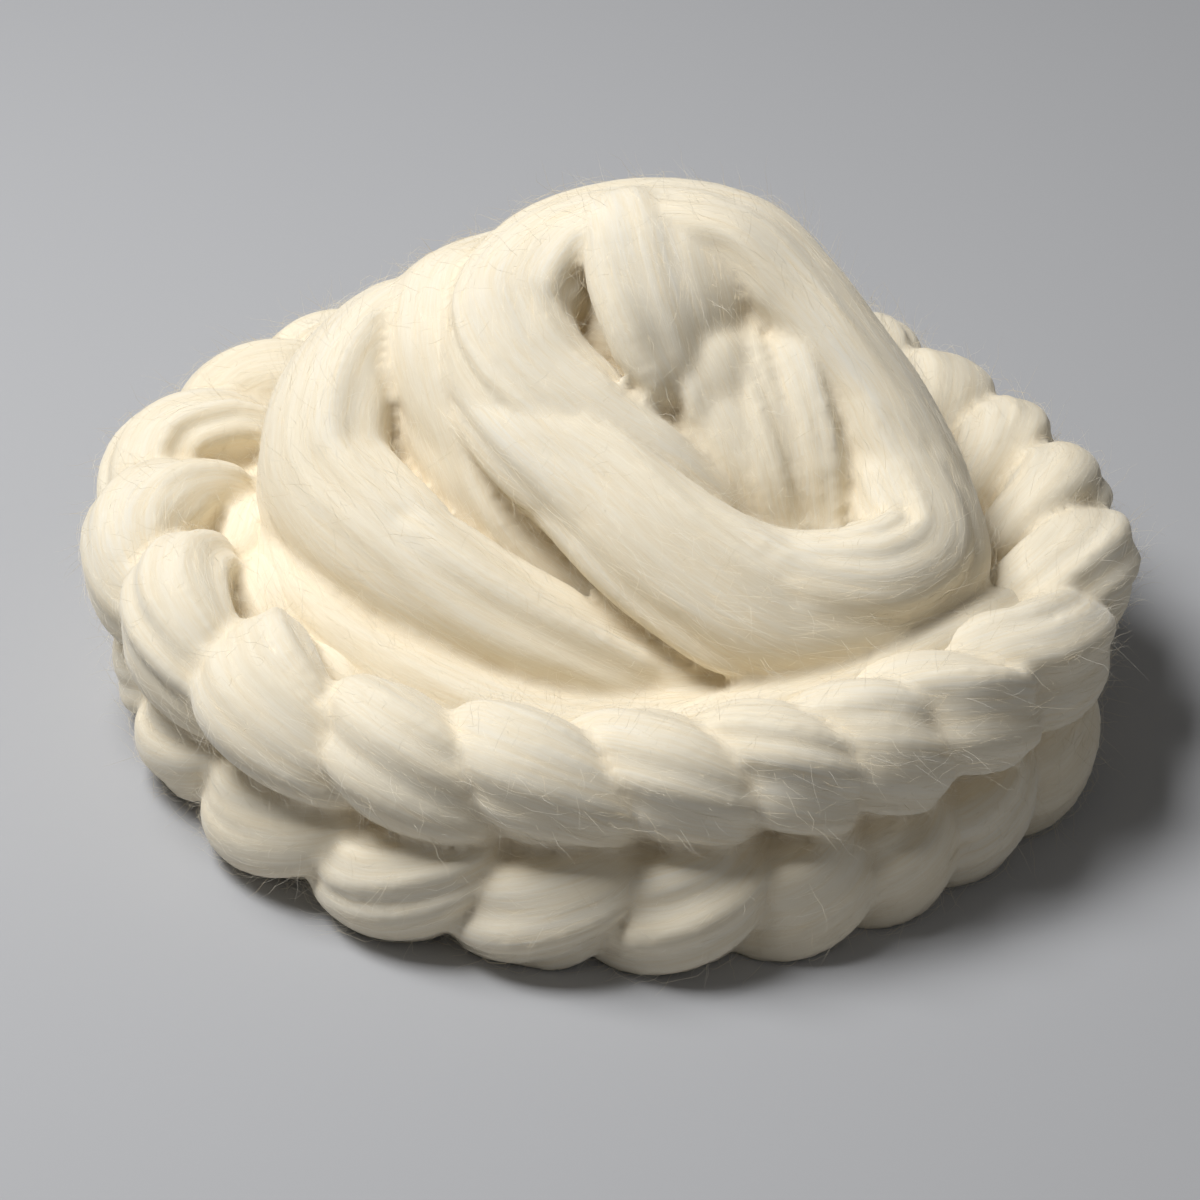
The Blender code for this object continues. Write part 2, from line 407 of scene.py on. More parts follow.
# The loose length, coil by coil from the chain's last link to its tucked end.
# x, y, z, wide, thick
COILS = {
    "rising_end": (
        (122, -34, 36, 34, 30),
        (113, -56, 44, 42, 30),
        (96, -74, 46, 44, 30),
        (68, -83, 40, 42, 28),
        (34, -86, 32, 42, 28),
    ),
    "base_coil": (
        (0, -84, 28, 42, 30),
        (-30, -80, 30, 44, 32),
        (-62, -64, 35, 46, 34),
        (-86, -37, 40, 46, 36),
        (-95, -2, 44, 46, 36),
        (-82, 42, 44, 44, 36),
        (-42, 72, 40, 44, 36),
        (14, 76, 38, 44, 36),
        (58, 60, 36, 42, 36),
        (84, 22, 34, 42, 36),
        (82, -26, 32, 42, 34),
        (56, -62, 30, 42, 32),
    ),
    "left_coil": (
        (18, -70, 33, 44, 32),
        (-22, -63, 45, 48, 34),
        (-60, -42, 58, 52, 36),
        (-86, -9, 68, 54, 38),
        (-86, 20, 81, 54, 38),
        (-70, 48, 86, 54, 38),
        (-42, 70, 78, 50, 38),
    ),
    "back_coil": (
        (-6, 78, 72, 50, 42),
        (36, 70, 72, 50, 42),
        (68, 38, 74, 46, 42),
        (78, 6, 70, 42, 38),
        (70, -14, 60, 30, 26),
    ),
    "upper_coil": (
        (78, -6, 74, 30, 26),
        (77, 22, 82, 40, 34),
        (56, 54, 92, 46, 40),
        (24, 68, 101, 52, 44),
        (-12, 66, 100, 50, 42),
        (-36, 58, 101, 48, 38),
    ),
    "shoulder": (
        (-50, 42, 103, 48, 36),
        (-52, 18, 98, 46, 34),
        (-43, -6, 80, 36, 30),
        (-28, -25, 58, 34, 28),
        (-4, -38, 44, 30, 22),
    ),
    "bowl": (
        (-30, 44, 100, 30, 24),
        (-37, 26, 107, 40, 30),
        (-35, 8, 103, 42, 30),
        (-23, -15, 97, 42, 32),
        (-4, -34, 88, 43, 34),
        (18, -54, 77, 46, 38),
        (46, -67, 68, 50, 40),
        (75, -65, 64, 52, 40),
        (92, -47, 67, 50, 38),
        (89, -21, 79, 44, 36),
        (80, -3, 94, 42, 34),
        (68, 11, 108, 40, 32),
    ),
    "crown": (
        (54, 27, 119, 42, 32),
        (36, 40, 129, 44, 32),
        (8, 44, 131, 46, 32),
        (-17, 39, 126, 46, 32),
        (-31, 20, 117, 42, 32),
        (-27, 0, 108, 40, 30),
        (-10, -16, 98, 38, 30),
        (12, -27, 86, 36, 28),
        (32, -30, 70, 30, 24),
        (44, -26, 56, 20, 18),
    ),
    "tongue_left": (
        (16, 32, 108, 20, 20),
        (22, 16, 112, 24, 22),
        (30, -2, 102, 26, 22),
        (39, -19, 87, 26, 22),
        (43, -28, 70, 20, 20),
    ),
    "tongue_middle": (
        (31, 32, 110, 20, 20),
        (37, 16, 113, 24, 22),
        (44, -4, 103, 26, 22),
        (51, -20, 88, 26, 22),
        (54, -29, 70, 20, 20),
    ),
    "tongue_right": (
        (46, 32, 109, 20, 20),
        (51, 16, 112, 24, 22),
        (58, -3, 103, 26, 22),
        (63, -19, 88, 26, 22),
        (64, -29, 70, 20, 20),
    ),
    "flap": (
        (10, 56, 126, 36, 22),
        (14, 44, 135, 46, 24),
        (18, 29, 135, 52, 24),
        (21, 15, 127, 52, 22),
        (24, 6, 115, 50, 20),
        (27, 1, 103, 44, 16),
    ),
    "hood_back": (
        (-30, 38, 92, 36, 32),
        (-8, 36, 102, 46, 38),
        (14, 24, 106, 50, 38),
        (28, 8, 103, 46, 36),
        (38, -10, 84, 36, 28),
    ),
    "floor_coil": (
        (76, -36, 22, 30, 26),
        (62, -50, 18, 42, 36),
        (30, -64, 18, 42, 36),
        (-16, -66, 18, 42, 36),
        (-56, -44, 18, 42, 36),
        (-72, 0, 18, 42, 36),
        (-52, 44, 18, 42, 36),
        (-4, 60, 18, 42, 36),
        (46, 46, 18, 42, 36),
        (62, 6, 18, 42, 36),
        (34, -26, 18, 44, 36),
        (-14, -26, 18, 44, 36),
        (-26, 10, 18, 44, 36),
        (6, 24, 18, 44, 36),
        (20, 4, 22, 30, 26),
    ),
    "core": (
        (-60, 26, 38, 70, 56),
        (-30, 16, 44, 90, 66),
        (10, 14, 48, 100, 74),
        (50, 10, 42, 80, 60),
        (72, 2, 36, 56, 50),
    ),
}
# The coils that follow one another in one run of the strand
RUNS = (
    ("rising_end", "base_coil", "left_coil", "back_coil"),
    ("upper_coil", "shoulder"),
    ("bowl", "crown"),
    ("tongue_left",),
    ("tongue_middle",),
    ("tongue_right",),
    ("flap",),
    ("hood_back",),
    ("floor_coil",),
    ("core",),
)


# --------------------------------------------------------------------------- the two forms


@dataclass
class ChainedRing:
    """The part of the strand that is chained, link after link, into a ring."""

    half_height: float = 31.0
    half_depth: float = 21.0
    leg_wide: float = 34.0
    leg_thick: float = 31.0
    sink: float = 3.0
    fattest: LegSection = LEG[3]
    loft: Loft = field(default_factory=lambda: Loft(sides=40, step=3.0, seed=3))

    def link_turn(self, along: float) -> float:
        """Degrees round the ring at a place counted in links from the first neck."""
        turns = [turn - 360.0 * lap for lap in (-1, 0, 1) for turn in LINK_TURNS]
        return float(np.interp(along - 1.0, np.arange(-LINKS, 2 * LINKS), turns))

    def place(self, along: float, across: float, out: float) -> tuple[float, float, float]:
        """Work out a point of the chain, in millimetres.

        Args:
            along: links round the ring.
            across: half heights up.
            out: half depths outwards.

        Returns:
            The point, so that the lowest loops press on the surface all the way round.
        """
        turn = self.link_turn(along)
        past_first = (RING[0].turn - turn) % 360.0
        table = RING + [RING[0]._replace(turn=RING[0].turn - 360.0)]
        knots = [RING[0].turn - section.turn for section in table]
        radius = np.interp(past_first, knots, [section.radius for section in table])
        lean = math.radians(np.interp(past_first, knots, [section.tilt for section in table]))
        up = (across + self.fattest.across) * self.half_height
        forth = (out - self.fattest.out) * self.half_depth
        height = (self.fattest.girth * self.leg_wide / 2.0 - self.sink
                  + up * math.cos(lean) + forth * math.sin(lean))
        radius += (out * self.half_depth * math.cos(lean)
                   - across * self.half_height * math.sin(lean))
        turn = math.radians(turn)
        return radius * math.cos(turn), radius * math.sin(turn), height

    def strand(self) -> Strand:
        """The whole chain as one stretch of strand."""
        lower = [leg._replace(across=-leg.across) for leg in LEG]
        pattern = lower + [HEAD] + LEG[::-1] + BACK
        sections = [
            CoilSection(*self.place(link + along, across, out),
                        girth * self.leg_wide, girth * self.leg_thick)
            for link in range(LINKS)
            for along, across, out, girth in pattern
        ]
        return Strand(sections)

    def build(self) -> StrandSurface:
        """Give the chain its surface."""
        surface = StrandSurface("chained_ring", self.loft)
        surface.add(self.strand())
        return surface


@dataclass
class HeapedCoils:
    """The rest of the strand, coiled loosely inside the ring and folded over on top."""

    core: tuple[float, float, float] = (4.0, 14.0, 36.0)
    loft: Loft = field(default_factory=lambda: Loft(sides=48, step=2.3, seed=8))

    def build(self) -> StrandSurface:
        """Give each run of coils its surface."""
        surface = StrandSurface("heaped_coils", self.loft)
        for run in RUNS:
            sections = [section for coil in run for section in COILS[coil]]
            surface.add(Strand(sections, self.core))
        return surface


@dataclass(frozen=True)
class Pressing:
    """Presses overlapping strands into one soft skin, as loose wool clings to itself."""

    grain: float = 0.0018
    rounds: int = 2
    softness: float = 0.5
    plump_rounds: int = 36
    plump: float = 0.8
    plump_most: float = 0.0018
    deepen_most: float = 0.0028
    # How deep in a crease a point lies when the painted crease shade is at its full
    crease_shade_depth: float = 0.0035

    def press(self, strands: bpy.types.Object) -> bpy.types.Object:
        """Give the strands one skin that keeps their direction and coordinates.

        Args:
            strands: closed tubes that overlap. They are removed.

        Returns:
            The skin, under the strands' name.
        """
        name = strands.name
        remesh = strands.modifiers.new("skin", "REMESH")
        remesh.mode = "VOXEL"
        remesh.voxel_size = self.grain
        skin = applied(strands)
        body = bmesh.new()
        body.from_mesh(skin)
        self.keep_outer(body)
        for _ in range(self.rounds):
            bmesh.ops.smooth_vert(body, verts=body.verts, factor=self.softness,
                                  use_axis_x=True, use_axis_y=True, use_axis_z=True)
        body.to_mesh(skin)
        body.free()
        self.fill_out(skin)
        self.carry_over(strands.data, skin)
        skin.shade_smooth()
        bpy.data.objects.remove(strands)
        skin.name = name
        return linked(name, skin)

    @staticmethod
    def keep_outer(body: bmesh.types.BMesh) -> None:
        """Delete the closed pockets between the strands: every loose shell but the largest."""
        unseen = set(body.verts)
        shells = []
        while unseen:
            shell = {unseen.pop()}
            edge = list(shell)
            while edge:
                vert = edge.pop()
                near = {link.other_vert(vert) for link in vert.link_edges} & unseen
                unseen -= near
                shell |= near
                edge.extend(near)
            shells.append(shell)
        shells.sort(key=len)
        for shell in shells[:-1]:
            bmesh.ops.delete(body, geom=list(shell), context="VERTS")

    def fill_out(self, skin: bpy.types.Mesh) -> None:
        """Plump the lobes, deepen the creases and mark how deep each point lies in a crease, as
        the mask for the shade painted into the creases.

        Args:
            skin: the skin, whose points move.
        """
        places = values_of(skin.vertices, "co", 3)
        normals = values_of(skin.vertices, "normal", 3)
        pairs = values_of(skin.edges, "vertices", 2, int)
        first, second = pairs.T
        links = np.bincount(pairs.ravel(), minlength=len(places))[:, None]
        broad = places.copy()
        for _ in range(self.plump_rounds):
            total = np.stack([
                np.bincount(first, broad[second, axis], len(places))
                + np.bincount(second, broad[first, axis], len(places)) for axis in range(3)
            ], axis=1)
            broad += self.softness * (total / links - broad)
        proud = ((places - broad) * normals).sum(axis=1)
        moved = places + normals * np.clip(self.plump * proud, -self.deepen_most,
                                           self.plump_most)[:, None]
        moved[:, 2] = np.maximum(moved[:, 2], FLOOR_GAP)
        skin.vertices.foreach_set("co", moved.ravel())
        skin.update()
        # How deep each point lies in a crease, kept as the mask for the painted crease shade
        crease_shade = skin.attributes.new("crease_shade", "FLOAT", "POINT")
        crease_shade.data.foreach_set("value", np.clip(-proud / self.crease_shade_depth, 0.0, 1.0))

    @staticmethod
    def carry_over(source: bpy.types.Mesh, skin: bpy.types.Mesh) -> None:
        """Give each point of the skin the strands' attributes from the nearest place on them.

        Args:
            source: the strands.
            skin: their skin.
        """
        points = [vert.co.copy() for vert in source.vertices]
        faces = [tuple(face.vertices) for face in source.polygons]
        tree = BVHTree.FromPolygons(points, faces)
        corners = np.zeros((len(skin.vertices), 4), dtype=int)
        shares = np.zeros((len(skin.vertices), 4))
        for i, vert in enumerate(skin.vertices):
            place, _, index, _ = tree.find_nearest(vert.co)
            face = faces[index][:4]
            corners[i, :len(face)] = face
            shares[i, :len(face)] = poly_3d_calc([points[k] for k in face], place)
        for name in ("flow", "strand"):
            rows = values_of(source.attributes[name].data, "vector", 3)
            carried = (rows[corners] * shares[..., None]).sum(axis=1)
            kept = skin.attributes.new(name, "FLOAT_VECTOR", "POINT")
            kept.data.foreach_set("vector", carried.ravel())


# --------------------------------------------------------------------------- finishes


@dataclass(frozen=True)
class WoolFinish:
    """Undyed combed wool: its colours, how it takes light and the size of its streaks. Its crease
    colour is painted shade, and the pale of its loose fibres is a painted highlight.
    """

    name: str
    cream: tuple[float, float, float] = (0.88, 0.80, 0.635)
    tan: tuple[float, float, float] = (0.77, 0.65, 0.455)
    grey: tuple[float, float, float] = (0.82, 0.79, 0.71)
    # A darker tan mixed into the creases: painted shade where shade falls
    crease: tuple[float, float, float] = (0.67, 0.54, 0.35)
    # The lightest tone of the loose fibres, paler than the wool itself: a painted highlight for
    # the light that fine fibres catch
    pale: tuple[float, float, float] = (0.94, 0.90, 0.80)
    tan_most: float = 0.40
    # The most of the painted crease shade that is mixed in, at a crease's deepest
    crease_most: float = 0.75
    roughness: float = 0.88
    sheen: float = 0.25
    sheen_roughness: float = 0.45
    bump: float = 0.27
    bump_depth: float = 0.0006


class Wiring:
    """Places and joins nodes in a tree."""

    def __init__(self, tree: bpy.types.NodeTree) -> None:
        """Work on a tree."""
        self.tree = tree

    def node(self, kind: str, **settings: object) -> bpy.types.Node:
        """Place a node and give it its settings."""
        placed = self.tree.nodes.new(kind)
        for name, value in settings.items():
            setattr(placed, name, value)
        return placed

    def join(self, source: object, target: bpy.types.NodeSocket) -> None:
        """Feed a socket from another socket, or set it to a value."""
        if isinstance(source, bpy.types.NodeSocket):
            self.tree.links.new(source, target)
        else:
            target.default_value = source

    def fed(self, kind: str, inputs: dict[str | int, object], **settings: object
            ) -> bpy.types.Node:
        """Place a node with its settings and feed its inputs, named or numbered."""
        placed = self.node(kind, **settings)
        for name, value in inputs.items():
            self.join(value, placed.inputs[name])
        return placed

    def maths(self, operation: str, *values: object) -> bpy.types.NodeSocket:
        """Work out a number from others."""
        placed = self.node("ShaderNodeMath", operation=operation)
        for value, socket in zip(values, placed.inputs):
            self.join(value, socket)
        return placed.outputs[0]

    def vector(self, operation: str, *values: object) -> bpy.types.NodeSocket:
        """Work out a vector from others."""
        placed = self.node("ShaderNodeVectorMath", operation=operation)
        sockets = [placed.inputs["Scale"]] if operation == "SCALE" else list(placed.inputs)
        if operation == "SCALE":
            sockets.insert(0, placed.inputs[0])
        for value, socket in zip(values, sockets):
            self.join(value, socket)
        return placed.outputs[0]

    def scaled(self, source: object, factors: Sequence[float], size: object = None
               ) -> bpy.types.NodeSocket:
        """Stretch a vector by a factor for each axis, and by one number if it is given."""
        stretched = self.vector("MULTIPLY", source, tuple(factors))
        return stretched if size is None else self.vector("SCALE", stretched, size)

    def noise(self, place: object, **values: float) -> bpy.types.Node:
        """Place a noise texture with unit scale that reads a place."""
        settings = {name.capitalize(): value for name, value in values.items()}
        return self.fed("ShaderNodeTexNoise", {"Vector": place, "Scale": 1.0, **settings})

    def ramp(self, factor: object, low: float, high: float) -> bpy.types.NodeSocket:
        """Spread the numbers between low and high over 0 to 1."""
        spread = {"Value": factor, "From Min": low, "From Max": high}
        return self.fed("ShaderNodeMapRange", spread).outputs["Result"]

    def mix(self, factor: object, first: object, second: object) -> bpy.types.NodeSocket:
        """Mix two colours."""
        placed = self.node("ShaderNodeMix", data_type="RGBA")
        colours = [socket for socket in placed.inputs if socket.type == "RGBA"]
        self.join(factor, placed.inputs[0])
        for value, socket in zip((first, second), colours):
            self.join((*value, 1.0) if isinstance(value, tuple) else value, socket)
        return next(socket for socket in placed.outputs if socket.type == "RGBA")


class StreakGroup:
    """The shader group that draws combed fibres along a strand."""

    NAME = "combed_streaks"
    # Noise cells in a metre, along the strand and then the two ways round it
    SWAY = (22.0, 60.0, 60.0)
    FINE = (110.0, 1600.0, 1600.0)
    BROAD = (28.0, 480.0, 480.0)
    MOTTLE = (18.0, 55.0, 55.0)
    # How far the streaks sway, in metres
    SWAYED = (0.0, 0.0022, 0.0022)

    @classmethod
    def build(cls) -> bpy.types.NodeTree:
        """Make the group once.

        Returns:
            A group that puts out a height, a streak mask and a broad mottle mask.
        """
        tree = bpy.data.node_groups.get(cls.NAME)
        if tree:
            return tree
        tree = bpy.data.node_groups.new(cls.NAME, "ShaderNodeTree")
        face = tree.interface
        for name in ("Fine Streaks", "Broad Streaks"):
            face.new_socket(name, in_out="INPUT", socket_type="NodeSocketFloat")
        for name in ("Height", "Streak", "Mottle"):
            face.new_socket(name, in_out="OUTPUT", socket_type="NodeSocketFloat")
        wire = Wiring(tree)
        given = wire.node("NodeGroupInput").outputs
        strand = wire.node("ShaderNodeAttribute", attribute_name="strand").outputs["Vector"]
        sway = wire.noise(wire.scaled(strand, cls.SWAY), detail=2.0)
        moved = wire.vector("MULTIPLY_ADD", sway.outputs["Color"], cls.SWAYED, strand)
        fine = wire.noise(wire.scaled(moved, cls.FINE, given["Fine Streaks"]),
                          detail=3.0, roughness=0.65)
        broad = wire.noise(wire.scaled(moved, cls.BROAD, given["Broad Streaks"]),
                           detail=3.0, roughness=0.55)
        mottle = wire.noise(wire.scaled(strand, cls.MOTTLE), detail=3.0)
        height = wire.maths("MULTIPLY_ADD", fine.outputs["Fac"], 0.45,
                            wire.maths("MULTIPLY", broad.outputs["Fac"], 0.75))
        streak = wire.maths("MULTIPLY_ADD", fine.outputs["Fac"], 0.55,
                            wire.maths("MULTIPLY", broad.outputs["Fac"], 0.45))
        wire.fed("NodeGroupOutput", {"Height": height, "Streak": streak,
                                     "Mottle": mottle.outputs["Fac"]})
        return tree


class WoolMaterial:
    """Makes the materials of the strand and of its loose fibres."""

    def __init__(self, finish: WoolFinish) -> None:
        """Use a finish."""
        self.finish = finish

    def base(self) -> tuple[bpy.types.Material, Wiring, bpy.types.Node]:
        """Make a material with the constants of the finish on its shader."""
        finish = self.finish
        material = bpy.data.materials.new(finish.name)
        material.use_nodes = True
        shader = material.node_tree.nodes["Principled BSDF"]
        for name, value in (
            ("Roughness", finish.roughness),
            ("Metallic", 0.0),
            ("IOR", 1.3),
            ("Specular IOR Level", 0.25),
            ("Sheen Weight", finish.sheen),
            ("Sheen Roughness", finish.sheen_roughness),
            ("Sheen Tint", (1.0, 0.98, 0.94, 1.0)),
        ):
            shader.inputs[name].default_value = value
        return material, Wiring(material.node_tree), shader

    def strand(self) -> bpy.types.Material:
        """The strand's surface: streaked along its length, tan and grey in patches, with painted
        shade in its creases.
        """
        finish = self.finish
        material, wire, shader = self.base()
        streaks = wire.fed("ShaderNodeGroup", {"Fine Streaks": 1.0, "Broad Streaks": 1.0},
                           node_tree=StreakGroup.build())
        worn = wire.ramp(streaks.outputs["Mottle"], 0.35, 0.75)
        tan_share = wire.maths("MULTIPLY", wire.ramp(streaks.outputs["Streak"], 0.58, 0.38),
                               finish.tan_most)
        colour = wire.mix(tan_share, finish.cream, finish.tan)
        grey_share = wire.maths("MULTIPLY", worn, wire.ramp(streaks.outputs["Streak"], 0.40, 0.75))
        colour = wire.mix(grey_share, colour, finish.grey)
        # Painted shade: the darker crease colour mixed in by how deep a point lies in a crease
        crease_shade = wire.node("ShaderNodeAttribute", attribute_name="crease_shade").outputs["Fac"]
        crease_shade_share = wire.maths("MULTIPLY", crease_shade, finish.crease_most)
        colour = wire.mix(crease_shade_share, colour, finish.crease)
        wire.join(colour, shader.inputs["Base Color"])
        bump = wire.fed("ShaderNodeBump", {
            "Strength": finish.bump, "Distance": finish.bump_depth,
            "Height": streaks.outputs["Height"],
        })
        wire.join(bump.outputs["Normal"], shader.inputs["Normal"])
        return material

    def fibre(self) -> bpy.types.Material:
        """The loose fibres: each its own tone at random from tan through cream, the lighter ones
        mixed toward pale as a painted highlight.
        """
        finish = self.finish
        material, wire, shader = self.base()
        shade = wire.node("ShaderNodeAttribute", attribute_name="shade").outputs["Fac"]
        colour = wire.mix(wire.ramp(shade, 0.0, 0.25), finish.tan, finish.cream)
        # Painted highlight: the lighter fibres mixed toward pale, for the light that fine fibres
        # catch
        colour = wire.mix(wire.ramp(shade, 0.4, 1.0), colour, finish.pale)
        wire.join(colour, shader.inputs["Base Color"])
        return material


# --------------------------------------------------------------------------- fibres


class Lay(Enum):
    """How a loose fibre lies."""

    COMBED = "combed"
    STRAY = "stray"


@dataclass(frozen=True)
class FibreCoat:
    """A layer of loose fibres over a surface. Lengths are metres."""

    name: str
    lay: Lay
    number: int
    shortest: float
    longest: float
    radius: float
    lift: float
    sway: float
    sway_size: float
    turn: float
    pitch: float
    points: int
    seed: int


class FibreTree:
    """The Geometry Nodes tree that scatters fibres over a surface."""

    SIDES = 3
    # The higher, the more of the fibres are short, and the fewer are raised
    SHORT_BIAS = 2.2
    RAISED_BIAS = 5.0
    # How much thinner a fibre is at its end
    TAPER = 0.75
    # How far apart in the noise two fibres are read
    CURL_SPREAD = 60.0

    def __init__(self, lay: Lay, material: bpy.types.Material) -> None:
        """Build the tree for one way of lying.

        Args:
            lay: whether fibres follow the strand or leave it.
            material: what the fibres are made of.
        """
        self.lay = lay
        self.tree = bpy.data.node_groups.new(f"fibres_{lay.value}", "GeometryNodeTree")
        self.wire = Wiring(self.tree)
        face = self.tree.interface
        face.new_socket("Geometry", in_out="INPUT", socket_type="NodeSocketGeometry")
        for name in ("Density", "Shortest", "Longest", "Radius", "Lift", "Sway", "Sway Size",
                     "Turn", "Pitch"):
            face.new_socket(name, in_out="INPUT", socket_type="NodeSocketFloat")
        for name in ("Points", "Seed"):
            face.new_socket(name, in_out="INPUT", socket_type="NodeSocketInt")
        face.new_socket("Geometry", in_out="OUTPUT", socket_type="NodeSocketGeometry")
        self.given = self.wire.node("NodeGroupInput").outputs
        self.fill(material)

    def random(self, low: object, high: object, salt: int) -> bpy.types.NodeSocket:
        """A number for each fibre, drawn between two others."""
        drawn = self.wire.node("FunctionNodeRandomValue", data_type="FLOAT")
        floats = [socket for socket in drawn.inputs if socket.type == "VALUE"]
        self.wire.join(low, floats[0])
        self.wire.join(high, floats[1])
        seed = self.wire.maths("ADD", self.given["Seed"], float(salt))
        self.wire.join(seed, drawn.inputs["Seed"])
        return next(socket for socket in drawn.outputs if socket.enabled)

    def kept(self, geometry: object, name: str, value: object) -> bpy.types.NodeSocket:
        """Store a number on each point under a name, for use after the fibres are grown."""
        store = self.wire.fed("GeometryNodeStoreNamedAttribute", {
            "Geometry": geometry, "Name": name, "Value": value,
        }, data_type="FLOAT", domain="POINT")
        return store.outputs["Geometry"]

    def named(self, name: str, kind: str = "FLOAT") -> bpy.types.NodeSocket:
        """Read a stored value."""
        read = self.wire.node("GeometryNodeInputNamedAttribute", data_type=kind)
        read.inputs["Name"].default_value = name
        return next(socket for socket in read.outputs if socket.enabled)

    def scatter(self) -> tuple[bpy.types.NodeSocket, bpy.types.NodeSocket]:
        """Scatter the roots where the surface shows.

        Returns:
            The roots, and the way each fibre sets off as a rotation.
        """
        wire, given = self.wire, self.given
        density = wire.maths("MULTIPLY", given["Density"], self.named("shown"))
        spread = wire.fed("GeometryNodeDistributePointsOnFaces", {
            "Mesh": given["Geometry"], "Density": density, "Seed": given["Seed"],
        }, distribute_method="RANDOM")
        roots = self.kept(spread.outputs["Points"], "shade", self.random(0.0, 1.0, 11))
        roots = self.kept(roots, "chance", self.random(0.0, 1.0, 12))
        aim = wire.fed("FunctionNodeAxesToRotation", {
            "Primary Axis": spread.outputs["Normal"],
            "Secondary Axis": self.named("flow", "FLOAT_VECTOR"),
        }, primary_axis="Z", secondary_axis="X")
        yaw = self.random(wire.maths("MULTIPLY", given["Turn"], -1.0), given["Turn"], 13)
        pitch = wire.maths("MULTIPLY", self.random(0.0, given["Pitch"], 14), -1.0)
        swing = wire.fed("ShaderNodeCombineXYZ", {"Y": pitch, "Z": yaw})
        as_turn = wire.fed("FunctionNodeEulerToRotation", {"Euler": swing.outputs["Vector"]})
        rotate = wire.fed("FunctionNodeRotateRotation", {
            "Rotation": aim.outputs["Rotation"], "Rotate By": as_turn.outputs["Rotation"],
        }, rotation_space="LOCAL")
        return roots, rotate.outputs["Rotation"]

    def grow(self, roots: object, way: object) -> bpy.types.NodeSocket:
        """Set a straight fibre of its own length on each root."""
        wire, given = self.wire, self.given
        start = -0.5 if self.lay is Lay.COMBED else 0.0
        line = wire.fed("GeometryNodeCurvePrimitiveLine", {
            "Start": (start, 0.0, 0.0), "End": (start + 1.0, 0.0, 0.0),
        })
        even = wire.fed("GeometryNodeResampleCurve", {
            "Curve": line.outputs["Curve"], "Count": given["Points"],
        })
        longness = wire.maths("POWER", self.random(0.0, 1.0, 15), self.SHORT_BIAS)
        span = wire.maths("SUBTRACT", given["Longest"], given["Shortest"])
        place = wire.fed("GeometryNodeInstanceOnPoints", {
            "Points": roots, "Instance": even.outputs["Curve"], "Rotation": way,
            "Scale": wire.maths("MULTIPLY_ADD", longness, span, given["Shortest"]),
        })
        real = wire.fed("GeometryNodeRealizeInstances", {"Geometry": place.outputs["Instances"]})
        return real.outputs["Geometry"]

    def drape(self, curves: object) -> bpy.types.NodeSocket:
        """Bend the fibres as wool lies, and keep them off the surface that they lie on."""
        wire, given = self.wire, self.given
        place = wire.node("GeometryNodeInputPosition").outputs["Position"]
        factor = wire.node("GeometryNodeSplineParameter").outputs["Factor"]
        chance = self.named("chance")
        curl = wire.fed("ShaderNodeTexNoise", {
            "Vector": place, "W": wire.maths("MULTIPLY", chance, self.CURL_SPREAD),
            "Scale": wire.maths("DIVIDE", 1.0, given["Sway Size"]), "Detail": 1.0,
        }, noise_dimensions="4D")
        drift = wire.vector("SUBTRACT", curl.outputs["Color"], (0.5, 0.5, 0.5))
        free = factor if self.lay is Lay.STRAY else 1.0
        reach = wire.maths("MULTIPLY", given["Sway"], free)
        moved = wire.vector("ADD", place, wire.vector("SCALE", drift, reach))
        if self.lay is Lay.COMBED:
            moved = self.laid(moved, factor, chance)
        axes = wire.fed("ShaderNodeSeparateXYZ", {"Vector": moved}).outputs
        above = wire.fed("ShaderNodeCombineXYZ", {
            "X": axes["X"], "Y": axes["Y"],
            "Z": wire.maths("MAXIMUM", axes["Z"], FIBRE_FLOOR_GAP),
        })
        bend = wire.fed("GeometryNodeSetPosition", {
            "Geometry": curves, "Position": above.outputs["Vector"],
        })
        return bend.outputs["Geometry"]

    def from_middle(self, factor: object) -> bpy.types.NodeSocket:
        """How far each point is from its fibre's middle, from 0 to 1 at the ends."""
        return self.wire.maths("ABSOLUTE", self.wire.maths("MULTIPLY_ADD", factor, 2.0, -1.0))

    def laid(self, moved: object, factor: object, chance: object) -> bpy.types.NodeSocket:
        """Lay points on the surface, raised a little at the fibre's middle."""
        wire, given = self.wire, self.given
        near = wire.fed("GeometryNodeProximity", {
            0: given["Geometry"], "Sample Position": moved,
        }, target_element="FACES")
        across = wire.fed("GeometryNodeSampleNearestSurface", {
            "Mesh": given["Geometry"], "Sample Position": moved,
            "Value": wire.node("GeometryNodeInputNormal").outputs["Normal"],
        }, data_type="FLOAT_VECTOR")
        arch = wire.maths("SUBTRACT", 1.0, wire.maths("POWER", self.from_middle(factor), 2.0))
        raised = wire.maths("MULTIPLY", given["Lift"],
                            wire.maths("POWER", chance, self.RAISED_BIAS))
        lift = wire.maths("MULTIPLY_ADD", raised, arch, FIBRE_REST)
        return wire.vector("ADD", near.outputs["Position"],
                           wire.vector("SCALE", across.outputs["Value"], lift))

